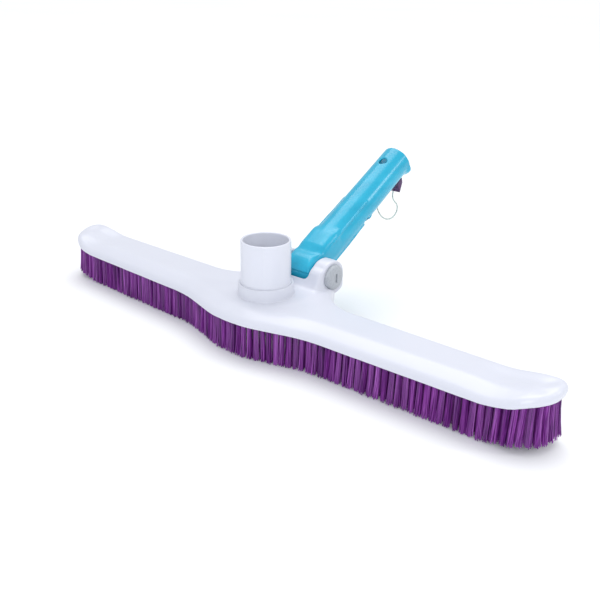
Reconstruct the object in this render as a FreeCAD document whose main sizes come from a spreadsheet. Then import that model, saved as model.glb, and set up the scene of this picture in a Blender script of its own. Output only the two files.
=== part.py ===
"""Pool wall brush: a suction brush head with a tilting pole handle, in millimetres.

The origin is on the hose cuff's axis, level with the bristle tips. +X runs along the head,
+Y is the rear, where the handle points, and +Z is up.
"""
import FreeCAD, Part
import math
import os

import Sketcher

V = FreeCAD.Vector
X_AXIS = V(1, 0, 0)
Y_AXIS = V(0, 1, 0)
Z_AXIS = V(0, 0, 1)

# Driving dimensions. Every length is in millimetres and every angle in degrees.
SIZES = {
    # head: plan view
    "head_half": 235.0,        # half of the 470 mm (18 1/2 inch) head
    "arm_front": 27.6,         # arms' front edge, in front of the cuff's axis, at the hump's foot
    "arm_tip_front": 22.8,     # the same edge at the head's end
    "arm_rear": 16.8,          # arms' rear edge, behind the cuff's axis
    "hump_front": 41.8,        # front of the central hump
    "hump_half": 15.0,         # half of the hump's flat front
    "hump_foot": 62.0,         # half width where the hump meets the arms
    "rear_block_inset": 2.0,   # the central block's rear edge, in front of the pivot's axis
    "rear_block_half": 31.0,   # half of that block's width
    "rear_foot": 50.0,         # half width where the block meets the arms
    "rear_foot_round": 40.0,   # radius of the curve between block and arm
    "hump_round": 60.0,        # radius of the hump's own curve
    "soft_corner": 95.0,       # radius of the curve between hump and arm
    "end_front_corner": 26.0,  # radius of the ends' front corners
    "end_rear_corner": 9.5,    # radius of the ends' rear corners
    "rear_corner": 7.0,        # radius of the central block's corners
    # head: heights
    "bristle_length": 27.0,    # bristles seen below the rim
    "shell_depth": 10.0,       # from the rim's lower edge to the top of the arms
    "end_lift": 3.0,           # how far the rim rises at each end
    "end_depth": 14.5,         # from the rim to the top of the upturned ends
    "lift_inset": 39.0,        # where the ends start to turn up, from the end
    "lift_run": 24.0,          # length over which the ends rise
    "lift_radius": 60.0,       # radius of both turns
    "tip_rise": 4.5,           # how far the bristle tips rise at the ends
    "overshoot": 5.0,          # how far a cutting shape runs past the surface that it cuts
    "shell_wall": 2.8,
    "rim_wall": 2.6,
    "mound_root": 1.0,         # the mound's foot below the deck
    "mound_back": 7.0,         # the mound's centre behind the cuff's axis
    "mound_height": 0.6,       # central mound above the deck
    "mound_foot": 43.0,
    "mound_top": 30.0,
    # bristle plate and bristles
    "plate_thickness": 2.5,
    "plate_gap": 0.1,
    "bristle_inset": 4.0,
    "bristle_band": 9.0,
    "bristle_end_inset": 36.5, # where the end bristles start, from the end
    "mouth_length": 62.0,      # suction mouth in the bristle plate
    "mouth_width": 28.0,
    "first_screw": 46.5,       # nearest screws, from the cuff's axis
    "screw_spacing": 62.0,
    "screw_front": 3.0,        # screws in front of the cuff's axis, in the middle of the channel
    "screw_radius": 1.5,
    "screw_head_radius": 3.1,
    "screw_head_height": 1.8,
    "screw_length": 6.5,
    "screw_slot_length": 4.0,
    "screw_slot_width": 0.7,
    "screw_slot_depth": 0.8,
    "boss_radius": 4.2,
    # hose cuff
    "cuff_radius": 19.05,      # 38.1 mm, the 1 1/2 inch hose size
    "cuff_wall": 1.95,
    "cuff_height": 33.0,       # cuff above the collar
    "collar_height": 10.0,     # collar above the deck
    "collar_wall": 1.57,
    "collar_base_wall": 2.5,   # wall round the flange, inside the shell
    "bearing_step": 0.5,       # the cuff's bearing in the collar stands out this far
    "bearing_rise": 0.5,       # and ends this far above the collar
    "flange_width": 3.35,      # how far the flange stands out from the cuff
    "flange_height": 2.4,
    "running_gap": 0.08,       # radial clearance of whatever turns
    "face_gap": 0.15,          # clearance between faces that slide on each other
    "seal_height": 1.5,
    "ledge_thickness": 1.4,    # ledge under the deck that the seal presses on
    "ring_height": 1.9,        # cuff's retaining ring
    # pivot
    "pivot_y": 48.0,
    "pivot_rise": 6.5,         # pivot's axis above the deck
    "ear_inner": 15.0,
    "ear_thickness": 12.0,
    "ear_wall": 11.8,          # ear round the bolt
    "ear_top_reach": 12.0,     # the ear's top runs this far in front of the pivot
    "ear_waist_reach": 21.0,
    "ear_root_reach": 31.0,
    "ear_heel_share": 0.85,    # roundings of the ear's outline, as shares of its radius
    "ear_crown_share": 0.98,
    "ear_nose_share": 0.8,
    "slot_reach": 18.0,        # front wall of the slot between the ears
    "knuckle_gap": 0.8,        # knuckle above the bristle plate
    "washer_width": 6.0,
    "washer_thickness": 0.9,
    "bolt_radius": 4.0,
    "bolt_head_width": 3.2,    # how far the bolt's head stands out from its shank
    "bolt_head_height": 3.0,
    "cap_overlap": 3.0,        # how far the cap covers the ear round the bolt's head
    "cap_seat": 1.6,           # depth of the cap's seat in the ear
    "cap_proud": 3.4,          # how far the cap stands out of the ear
    "cap_dome": 1.9,           # rounded part of the cap's depth
    "cap_crown": 0.76,         # shallow cone round the flat middle
    "cap_edge": 0.95,          # bevel at the cap's rim
    "cap_slope": 3.04,         # width of the shallow cone
    "coin_slot_length": 7.0,
    "coin_slot_width": 1.5,
    "coin_slot_depth": 1.8,
    # handle, in its own frame: Y along the tube from the pivot, Z away from the floor
    "handle_tilt": 29.8,       # angle of the handle above the floor at rest
    "handle_length": 137.0,
    "tube_rise": 1.2,          # the tube's axis passes this far above the pivot's axis
    "tube_wall": 1.85,
    "tube_bore": 11.0,         # socket for a 22 mm pole
    "tube_draft": 1.05,        # the tube is this much thicker at the neck
    "bore_start": 60.0,
    "neck_ease": 0.6,          # the tube's foot is this much narrower than the knuckle
    "flats_reach": 8.0,        # the knuckle's flats run this far past the ears
    "neck_top": 13.8,          # squared neck: its top above the tube's axis
    "neck_low": 4.0,           # and its underside below that axis
    "neck_root": 4.0,          # where the round tube starts inside the knuckle
    "hood_reach": 45.0,        # angle that the knuckle's hood covers in front of its top
    "neck_start": 8.0,
    "neck_end": 30.5,
    "neck_taper": 40.0,        # where the squared neck has died out in the tube
    "neck_sink": 4.0,          # how far its top and sides have sunk there
    "button_hole_radius": 3.7,
    "button_hole_place": 119.5,
    "lip_nose": 1.0,
    "end_lip": 2.4,            # lip under the handle's end
    "end_lip_length": 6.4,
    "end_lip_width": 12.0,
    "notch_place": 76.0,
    "notch_length": 8.0,
    "notch_depth": 3.4,
    "rib_height": 0.9,
    "rib_width": 1.6,
    "rib_length": 55.0,
    "rib_place": 20.0,
    "rib_spread": 68.0,        # angle between the paired ribs on each side
    # lock peg and its tether
    "peg_place": 126.0,
    "peg_radius": 3.0,
    "peg_reach": 7.2,          # shank past the tube's wall
    "peg_relief": 0.4,         # the bore is this much wider beside the peg
    "peg_relief_length": 7.2,
    "peg_head_length": 7.8,
    "peg_head_width": 12.6,
    "peg_head_height": 10.3,
    "peg_heel_height": 4.4,    # the block is this deep on the side away from the pivot
    "peg_head_taper": 1.0,
    "tether_radius": 0.6,
    "anchor_place": 96.0,
    "anchor_radius": 2.2,
    "anchor_height": 1.6,
    "anchor_face_radius": 1.3,
    "anchor_stem_radius": 1.1,
}

# Sizes that follow from the driving ones.
FORMULAS = {
    "lift_start": "head_half - lift_inset",
    "bristle_end_start": "head_half - bristle_end_inset",
    "deck_height": "bristle_length + shell_depth",
    "end_top": "bristle_length + end_depth",
    "plate_top": "bristle_length + plate_thickness + plate_gap",
    "rear_block": "pivot_y - rear_block_inset",
    "cuff_bore": "cuff_radius - cuff_wall",
    "bearing_radius": "cuff_radius + bearing_step",
    "collar_bore": "bearing_radius + running_gap",
    "collar_radius": "collar_bore + collar_wall",
    "collar_top": "deck_height + collar_height",
    "bearing_top": "collar_top + bearing_rise",
    "cuff_top": "collar_top + cuff_height",
    "flange_radius": "cuff_radius + flange_width",
    "flange_bore": "flange_radius + running_gap",
    "collar_base_radius": "flange_bore + collar_base_wall",
    "ledge_height": "deck_height - ledge_thickness",
    "seal_low": "ledge_height - seal_height",
    "flange_top": "seal_low - face_gap",
    "flange_low": "flange_top - flange_height",
    "ring_low": "flange_low - face_gap - ring_height",
    "pivot_z": "deck_height + pivot_rise",
    "ear_outer": "ear_inner + ear_thickness",
    "ear_radius": "bolt_radius + ear_wall",
    "ear_front": "pivot_y - ear_top_reach",
    "ear_waist": "pivot_y - ear_waist_reach",
    "ear_root": "pivot_y - ear_root_reach",
    "slot_front": "pivot_y - slot_reach",
    "knuckle_radius": "pivot_z - bristle_length - plate_thickness - knuckle_gap",
    "knuckle_half": "ear_inner - washer_thickness - face_gap",
    "washer_radius": "bolt_radius + washer_width",
    "bolt_head_radius": "bolt_radius + bolt_head_width",
    "cap_radius": "bolt_head_radius + cap_overlap",
    "cap_inner": "ear_outer - cap_seat",
    "cap_outer": "ear_outer + cap_proud",
    "cap_rim_radius": "cap_radius - cap_edge",
    "bolt_head_inner": "cap_inner - bolt_head_height",
    "tube_radius": "tube_bore + tube_wall",
    "tube_base_radius": "tube_radius + tube_draft",
    "draft_rate": "tube_draft / ( handle_length - neck_taper )",
    "anchor_seat": "tube_radius + draft_rate * ( handle_length - anchor_place )",
    "peg_seat": "tube_radius + draft_rate * ( handle_length - peg_place + peg_head_length / 2 )",
    "peg_face": "peg_seat + face_gap",
    "screw_bottom": "bristle_length - screw_head_height",
}

# Tether route in the handle's frame: across, along the tube, away from the floor.
# The first points are measured from the top of the peg's block.
ROUTE_FROM_PEG = [
    (0.0, -4.3, -9.3),
    (0.2, -7.8, -11.3),
    (0.8, -8.6, -17.6),
    (1.0, -5.7, -23.6),
    (0.6, -7.8, -30.0),
    (0.0, -14.7, -31.9),
]
# The last points are measured from the tube's underside at the anchor.
ROUTE_FROM_ANCHOR = [
    (-0.6, 8.4, -28.45),
    (-0.8, 3.4, -21.75),
    (-0.4, 0.7, -13.75),
    (0.0, 0.0, -6.05),
    (0.0, 0.0, -1.6),
]
ARC_SHARE = 0.45               # share of the shorter run beside a corner that its arc takes

doc = FreeCAD.newDocument("pool_wall_brush")
sheet = doc.addObject("Spreadsheet::Sheet", "sizes")


def fill_sheet():
    for row, (alias, value) in enumerate(SIZES.items(), start=1):
        sheet.set(f"A{row}", alias)
        sheet.set(f"B{row}", str(value))
        sheet.setAlias(f"B{row}", alias)
    doc.recompute()


def size(name):
    """The value of one dimension, from the sheet or worked out from it."""
    return float(sheet.get(name)) if name in SIZES else value_of(name)


def bind(item, **rules):
    """Ties properties to the sheet. A double underscore stands for a dot in the property's path."""
    for path, rule in rules.items():
        item.setExpression(path.replace("__", "."), named(rule))
    return item


def named(rule):
    """Writes a rule as an expression: formulas written out, and the sheet's name before each alias."""
    words = []
    for word in rule.replace("(", " ( ").replace(")", " ) ").split():
        if word in FORMULAS:
            words.append(f"( {named(FORMULAS[word])} )")
        else:
            words.append(f"sizes.{word}" if word in SIZES else word)
    return " ".join(words).replace("sin (", "sin(").replace("cos (", "cos(")


def label(item, node):
    item.Label = node
    return item


# ---------------------------------------------------------------- outlines and solids

def rounded_wire(corners):
    """Closed wire through (x, y, radius) corners, with a tangent arc at each rounded one."""
    count = len(corners)
    starts, ends, arcs = [], [], []
    for index, (x, y, radius) in enumerate(corners):
        here = V(x, y, 0)
        before = V(*corners[index - 1][:2], 0) - here
        after = V(*corners[(index + 1) % count][:2], 0) - here
        before.normalize()
        after.normalize()
        half = before.getAngle(after) / 2
        back = radius / math.tan(half)
        starts.append(here + before * back)
        ends.append(here + after * back)
        if radius:
            inward = (before + after).normalize()
            middle = here + inward * (radius / math.sin(half) - radius)
            arcs.append(Part.Arc(starts[-1], middle, ends[-1]).toShape())
        else:
            arcs.append(None)
    edges = []
    for index in range(count):
        if arcs[index]:
            edges.append(arcs[index])
        following = starts[(index + 1) % count]
        if ends[index].distanceToPoint(following) > 1e-6:
            edges.append(Part.LineSegment(ends[index], following).toShape())
    return Part.Wire(edges)


def outline(name, corners, placement=FreeCAD.Placement()):
    """A rounded outline as a document object, turned to its plane."""
    item = doc.addObject("Part::Feature", name)
    item.Shape = rounded_wire(corners)
    item.Placement = placement
    return item


TO_XZ = FreeCAD.Placement(V(), FreeCAD.Rotation(X_AXIS, 90))
TO_YZ = FreeCAD.Placement(V(), FreeCAD.Rotation(V(1, 1, 1), 120))


def mirrored(half):
    """Adds the left half of an outline that is given from its front centre to its rear centre."""
    return half + [(-x, y, radius) for x, y, radius in reversed(half)]


def offset(name, source, rule):
    item = doc.addObject("Part::Offset2D", name)
    item.Source = source
    item.Mode = "Pipe"
    item.Join = "Arc"
    item.Fill = False
    return bind(item, Value=rule)


def extrusion(name, base, direction, ahead, behind="0"):
    item = doc.addObject("Part::Extrusion", name)
    item.Base = base
    item.DirMode = "Custom"
    item.Dir = direction
    item.Solid = True
    item.FaceMakerClass = "Part::FaceMakerBullseye"
    return bind(item, LengthFwd=ahead, LengthRev=behind)


def cylinder(name, radius, height, x="0", y="0", z="0", along=Z_AXIS):
    item = doc.addObject("Part::Cylinder", name)
    item.Placement = FreeCAD.Placement(V(), FreeCAD.Rotation(Z_AXIS, along))
    bind(item, Radius=radius, Height=height)
    return bind(item, Placement__Base__x=x, Placement__Base__y=y, Placement__Base__z=z)


def box(name, length, width, height, x="0", y="0", z="0"):
    """A box centred on x and y, standing on z."""
    item = doc.addObject("Part::Box", name)
    bind(item, Length=length, Width=width, Height=height)
    bind(item, Placement__Base__x=f"{x} - ( {length} ) / 2")
    return bind(item, Placement__Base__y=f"{y} - ( {width} ) / 2", Placement__Base__z=z)


def fuse(name, parts):
    item = doc.addObject("Part::MultiFuse", name)
    item.Shapes = parts
    return item


def common(name, base, tool):
    item = doc.addObject("Part::Common", name)
    item.Base = base
    item.Tool = tool
    return item


def cut(name, base, tool):
    item = doc.addObject("Part::Cut", name)
    item.Base = base
    item.Tool = tool
    return item


# ---------------------------------------------------------------- PartDesign helpers

def origin_plane(body, role):
    return next(plane for plane in body.Origin.OriginFeatures if plane.Role == role)


def sketch_on(body, name, role):
    sketch = body.newObject("Sketcher::SketchObject", name)
    sketch.AttachmentSupport = [(origin_plane(body, role), "")]
    sketch.MapMode = "FlatFace"
    return sketch


def add_circle(sketch, radius, x="0", y="0"):
    """A circle whose radius and centre follow the sheet."""
    index = sketch.addGeometry(Part.Circle(V(1, 1, 0), Z_AXIS, 1))
    drive(sketch, Sketcher.Constraint("Radius", index, 1), radius)
    drive(sketch, Sketcher.Constraint("DistanceX", -1, 1, index, 3, 1), x)
    drive(sketch, Sketcher.Constraint("DistanceY", -1, 1, index, 3, 1), y)


def add_polygon(sketch, corners):
    """A closed polygon whose corners follow the sheet, as (x rule, y rule) pairs."""
    count = len(corners)
    first = sketch.GeometryCount
    places = [V(value_of(x), value_of(y), 0) for x, y in corners]
    for index in range(count):
        sketch.addGeometry(Part.LineSegment(places[index], places[(index + 1) % count]))
    for index in range(count):
        here = first + index
        after = first + (index + 1) % count
        sketch.addConstraint(Sketcher.Constraint("Coincident", here, 2, after, 1))
    for index, (x, y) in enumerate(corners):
        here = first + index
        drive(sketch, Sketcher.Constraint("DistanceX", -1, 1, here, 1, value_of(x)), x)
        drive(sketch, Sketcher.Constraint("DistanceY", -1, 1, here, 1, value_of(y)), y)


def value_of(rule):
    """Works a rule out with the sheet's values, for a sketch's first shape."""
    probe = doc.getObject("probe") or doc.addObject("App::FeaturePython", "probe")
    if "Value" not in probe.PropertiesList:
        probe.addProperty("App::PropertyFloat", "Value")
    probe.setExpression("Value", named(rule))
    probe.recompute()
    return probe.Value


def drive(sketch, constraint, rule):
    index = sketch.addConstraint(constraint)
    sketch.setExpression(f"Constraints[{index}]", named(rule))


def pad(body, name, sketch, length, centred=False, reverse=False):
    item = body.newObject("PartDesign::Pad", name)
    item.Profile = sketch
    item.Midplane = centred
    item.Reversed = reverse
    return bind(item, Length=length)


def pocket(body, name, sketch, length, centred=False, reverse=False):
    item = body.newObject("PartDesign::Pocket", name)
    item.Profile = sketch
    item.Midplane = centred
    item.Reversed = reverse
    return bind(item, Length=length)


def turned(body, kind, name, sketch, axis):
    """A revolution or groove about one of the sketch's own axes."""
    item = body.newObject(f"PartDesign::{kind}", name)
    item.Profile = sketch
    item.ReferenceAxis = (sketch, [axis])
    item.Angle = 360
    return item


# ---------------------------------------------------------------- head

def head_plan():
    """Plan view of the head: a front hump, two arms and a rear block under the pivot."""
    half = [
        (size("hump_half"), -size("hump_front"), size("hump_round")),
        (size("hump_foot"), -size("arm_front"), size("soft_corner")),
        (size("head_half"), -size("arm_tip_front"), size("end_front_corner")),
        (size("head_half"), size("arm_rear"), size("end_rear_corner")),
        (size("rear_foot"), size("arm_rear"), size("rear_foot_round")),
        (size("rear_block_half"), size("rear_block"), size("rear_corner")),
    ]
    return outline("head_plan", mirrored(half))


def lifted_band(name, low, low_tip, high, high_tip):
    """Side view between two heights that both rise near the ends and run on level."""
    turn = size("lift_start")
    risen = turn + size("lift_run")
    end = size("head_half") + size("overshoot")
    bend = size("lift_radius")
    low_value, low_end = value_of(low), value_of(low_tip)
    high_value, high_end = value_of(high), value_of(high_tip)
    right = [
        (turn, low_value, bend),
        (risen, low_end, bend),
        (end, low_end, 0),
        (end, high_end, 0),
        (risen, high_end, bend),
        (turn, high_value, bend),
    ]
    band = outline(name, mirrored(right), TO_XZ)
    return extrusion(f"{name}_solid", band, Y_AXIS, "rear_block * 2", "rear_block * 2")


def plan_prism(name, plan):
    return extrusion(name, plan, Z_AXIS, "end_top + overshoot", "overshoot")


def clevis_ears():
    """The two ears, with the long front foot that runs into the deck."""
    top = size("pivot_z") + size("ear_radius")
    back = size("pivot_y") + size("ear_radius")
    low = size("bristle_length") + size("plate_thickness")
    corners = [
        (size("ear_root"), low, 0),
        (back, low, size("ear_radius") * size("ear_heel_share")),
        (back, top, size("ear_radius") * size("ear_crown_share")),
        (size("ear_front"), top, size("ear_radius") * size("ear_nose_share")),
        (size("ear_waist"), size("deck_height") + size("mound_height"), size("rear_corner")),
        (size("ear_root"), size("deck_height"), 0),
    ]
    profile = outline("ear_profile", corners, TO_YZ)
    return extrusion("ears_blank", profile, X_AXIS, "ear_outer", "ear_outer")


def screw_places():
    """Screws along the channel between the bristle rows, as places along X."""
    rights = [f"first_screw + screw_spacing * {number}" for number in range(3)]
    return rights + [f"0 - ( {right} )" for right in rights]


def screw_solids(name, radius, height, z):
    """One cylinder at each screw."""
    places = enumerate(screw_places(), start=1)
    return [
        cylinder(f"{name}_{number}", radius, height, place, "0 - screw_front", z)
        for number, place in places
    ]


def head_shell(plan):
    lift = "end_lift"
    blank = common(
        "head_blank",
        plan_prism("head_prism", plan),
        lifted_band("head_side", "bristle_length", f"bristle_length + {lift}", "deck_height", "end_top"),
    )
    mound = doc.addObject("Part::Cone", "mound_cone")
    bind(mound, Radius1="mound_foot", Radius2="mound_top", Height="mound_height + mound_root")
    bind(mound, Placement__Base__z="deck_height - mound_root", Placement__Base__y="mound_back")
    mound_kept = common("mound_kept", mound, plan_prism("mound_prism", plan))
    collar = cylinder("collar", "collar_radius", "collar_top - deck_height", z="deck_height")
    outer = fuse("shell_outer", [blank, mound_kept, collar, clevis_ears()])

    below = "bristle_length - overshoot"
    inner_plan = offset("inner_plan", plan, "0 - rim_wall")
    recess = common(
        "plate_recess",
        plan_prism("recess_prism", inner_plan),
        lifted_band("recess_side", below, f"{below} + {lift}", "plate_top", f"plate_top + {lift}"),
    )
    cavity_plan = offset("cavity_plan", plan, "0 - rim_wall - shell_wall")
    roof = "deck_height - shell_wall"
    cavity = common(
        "cavity_blank",
        plan_prism("cavity_prism", cavity_plan),
        lifted_band("cavity_side", "bristle_length", f"bristle_length + {lift}", roof, f"{roof} + {lift}"),
    )
    kept = [
        cylinder("collar_base", "collar_base_radius", "deck_height", z="0"),
        box("pivot_block", "ear_outer * 2", "rear_block", "deck_height", y="ear_root + rear_block / 2"),
    ]
    kept += screw_solids("boss", "boss_radius", "deck_height", "0")
    hollow = cut("cavity", cavity, fuse("cavity_kept", kept))

    bore = cylinder("cuff_hole", "collar_bore", "collar_top", z="bristle_length")
    seat = cylinder("flange_seat", "flange_bore", "ledge_height", z="0")
    slot = box("clevis_slot", "ear_inner * 2", "rear_block * 2", "end_top * 2",
               y="slot_front + rear_block", z=below)
    bolt_hole = cylinder("ear_hole", "bolt_radius", "ear_outer * 2", "0 - ear_outer", "pivot_y", "pivot_z",
                         X_AXIS)
    removed = [recess, hollow, bore, seat, slot, bolt_hole]
    removed += screw_solids("pilot", "screw_radius", "screw_length", "plate_top")
    for side, word in ((1, "right"), (-1, "left")):
        removed.append(ear_pocket(f"cap_seat_{word}", side, "cap_radius", "cap_inner", "cap_seat"))
    removed.append(ear_pocket("head_seat", 1, "bolt_head_radius", "bolt_head_inner", "bolt_head_height"))
    removed.append(nut_solid("nut_seat", "bolt_head_height"))
    return cut("shell_cut", outer, fuse("shell_removed", removed))


def ear_pocket(name, side, radius, start, depth):
    """A round pocket in one ear's outer face, from its inner end outwards."""
    direction = X_AXIS * side
    x = start if side > 0 else f"0 - ( {start} )"
    return cylinder(name, radius, f"{depth} + overshoot", x, "pivot_y", "pivot_z", direction)


def nut_solid(name, depth):
    """A hexagon prism on the pivot's left side, growing outwards."""
    item = doc.addObject("Part::Prism", name)
    item.Polygon = 6
    item.Placement = FreeCAD.Placement(V(), FreeCAD.Rotation(Z_AXIS, -X_AXIS))
    bind(item, Circumradius="bolt_head_radius", Height=depth)
    bind(item, Placement__Base__x="0 - bolt_head_inner")
    return bind(item, Placement__Base__y="pivot_y", Placement__Base__z="pivot_z")


def bristle_plate(plan):
    lift = "end_lift"
    plate_plan = offset("plate_plan", plan, "0 - rim_wall - plate_gap")
    blank = common(
        "plate_blank",
        plan_prism("plate_prism", plate_plan),
        lifted_band("plate_side", "bristle_length", f"bristle_length + {lift}",
                    "bristle_length + plate_thickness", f"bristle_length + plate_thickness + {lift}"),
    )
    straight = "mouth_length - mouth_width"
    mouth = box("mouth_box", straight, "mouth_width", "deck_height")
    ends = [
        cylinder(f"mouth_end_{word}", "mouth_width / 2", "deck_height", f"( {straight} ) / 2 * {sign}")
        for word, sign in (("right", "1"), ("left", "-1"))
    ]
    holes = screw_solids("plate_hole", "screw_radius", "deck_height", "0")
    return cut("plate_cut", blank, fuse("plate_openings", [mouth] + ends + holes))


def plate_screws():
    shanks = screw_solids("shank", "screw_radius", "screw_length + plate_thickness", "bristle_length")
    heads = screw_solids("screw_head", "screw_head_radius", "screw_head_height", "screw_bottom")
    slots = [
        box(f"screw_slot_{number}", "screw_slot_length", "screw_slot_width", "screw_slot_depth * 2",
            place, "0 - screw_front", "screw_bottom - screw_slot_depth")
        for number, place in enumerate(screw_places(), start=1)
    ]
    return cut("screws_cut", fuse("screws_blank", shanks + heads), fuse("screw_slots", slots))


def bristle_nodes(plan):
    """The ring of bristles under the rim, parted into front, rear and two ends."""
    outer = plan_prism("bristle_outer", offset("bristle_plan", plan, "0 - bristle_inset"))
    inner = plan_prism("bristle_inner", offset("channel_plan", plan, "0 - bristle_inset - bristle_band"))
    band = lifted_band("bristle_side", "0", "tip_rise", "bristle_length", "bristle_length + end_lift")
    ring = common("bristle_ring", cut("bristle_wall", outer, inner), band)
    middle = "bristle_end_start * 2"
    end_x = "bristle_end_start + head_half / 2"
    regions = {
        "bristles_front": box("front_region", middle, "head_half", "end_top", y="0 - head_half / 2"),
        "bristles_rear": box("rear_region", middle, "head_half", "end_top", y="head_half / 2"),
        "bristles_right_end": box("right_region", "head_half", "head_half", "end_top", x=end_x),
        "bristles_left_end": box("left_region", "head_half", "head_half", "end_top", x=f"0 - ( {end_x} )"),
    }
    return [label(common(f"{node}_solid", ring, region), node) for node, region in regions.items()]


# ---------------------------------------------------------------- hose cuff

def hose_cuff():
    """Plain tube with a thicker bearing in the collar and a flange at its foot, turned in one piece."""
    body = doc.addObject("PartDesign::Body", "hose_cuff")
    sketch = sketch_on(body, "cuff_profile", "XZ_Plane")
    add_polygon(sketch, [
        ("cuff_bore", "flange_low"),
        ("flange_radius", "flange_low"),
        ("flange_radius", "flange_top"),
        ("bearing_radius", "flange_top"),
        ("bearing_radius", "bearing_top"),
        ("cuff_radius", "bearing_top"),
        ("cuff_radius", "cuff_top"),
        ("cuff_bore", "cuff_top"),
    ])
    turned(body, "Revolution", "cuff_turned", sketch, "V_Axis")
    return body


def flat_ring(node, inner, outer, low, height):
    """A flat ring round the cuff's axis."""
    body = doc.addObject("PartDesign::Body", node)
    sketch = sketch_on(body, f"{node}_profile", "XZ_Plane")
    top = f"{low} + {height}"
    add_polygon(sketch, [(inner, low), (outer, low), (outer, top), (inner, top)])
    turned(body, "Revolution", f"{node}_turned", sketch, "V_Axis")
    return body


# ---------------------------------------------------------------- pivot hardware

def pivot_bolt():
    """Round shank through both ears, with its head in the right ear."""
    shank = cylinder("bolt_shank", "bolt_radius", "cap_inner + bolt_head_inner", "0 - cap_inner",
                     "pivot_y", "pivot_z", X_AXIS)
    head = cylinder("bolt_head", "bolt_head_radius", "bolt_head_height", "bolt_head_inner",
                    "pivot_y", "pivot_z", X_AXIS)
    return label(fuse("bolt_blank", [shank, head]), "pivot_bolt")


def pivot_nut():
    blank = nut_solid("nut_blank", "bolt_head_height")
    hole = cylinder("nut_hole", "bolt_radius", "ear_outer", "0 - ear_outer", "pivot_y", "pivot_z", X_AXIS)
    return label(cut("nut_cut", blank, hole), "pivot_nut")


def pivot_cap(node, side, slotted):
    """Round cap with a shallow dome, pressed into the ear over the bolt's end."""
    body = doc.addObject("PartDesign::Body", node)
    sketch = sketch_on(body, f"{node}_profile", "XZ_Plane")
    add_polygon(sketch, [
        ("cap_inner", "0"),
        ("cap_inner", "cap_radius"),
        ("cap_outer - cap_dome", "cap_radius"),
        ("cap_outer - cap_crown", "cap_rim_radius"),
        ("cap_outer", "cap_rim_radius - cap_slope"),
        ("cap_outer", "0"),
    ])
    turned(body, "Revolution", f"{node}_turned", sketch, "H_Axis")
    if slotted:
        slot = sketch_on(body, f"{node}_slot", "XY_Plane")
        top = "cap_outer + overshoot"
        low = "cap_outer - coin_slot_depth"
        wide = "coin_slot_width / 2"
        add_polygon(slot, [(low, f"0 - {wide}"), (top, f"0 - {wide}"), (top, wide), (low, wide)])
        pocket(body, f"{node}_slot_cut", slot, "coin_slot_length", centred=True)
    turn = 0 if side > 0 else 180
    body.Placement = FreeCAD.Placement(V(), FreeCAD.Rotation(Z_AXIS, turn))
    bind(body, Placement__Base__y="pivot_y", Placement__Base__z="pivot_z")
    return body


def pivot_washer(node, side):
    """Friction washer between the knuckle and one ear."""
    body = doc.addObject("PartDesign::Body", node)
    sketch = sketch_on(body, f"{node}_profile", "YZ_Plane")
    add_circle(sketch, "washer_radius")
    add_circle(sketch, "bolt_radius")
    pad(body, f"{node}_pad", sketch, "washer_thickness", reverse=side > 0)
    bind(body, Placement__Base__x=f"ear_inner * {side}")
    return bind(body, Placement__Base__y="pivot_y", Placement__Base__z="pivot_z")


# ---------------------------------------------------------------- handle

TUBE_START_Y = "pivot_y - tube_rise * sin( handle_tilt )"
TUBE_START_Z = "pivot_z + tube_rise * cos( handle_tilt )"


def handle_placement():
    start = V(0, value_of(TUBE_START_Y), value_of(TUBE_START_Z))
    return FreeCAD.Placement(start, FreeCAD.Rotation(X_AXIS, size("handle_tilt")))


def set_on_handle(item):
    """Puts a piece that is modelled in the handle's frame on the tilted handle."""
    item.Placement = handle_placement()
    bind(item, Placement__Base__y=TUBE_START_Y, Placement__Base__z=TUBE_START_Z)
    item.setExpression("Placement.Rotation.Angle", "sizes.handle_tilt")
    return item


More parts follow.
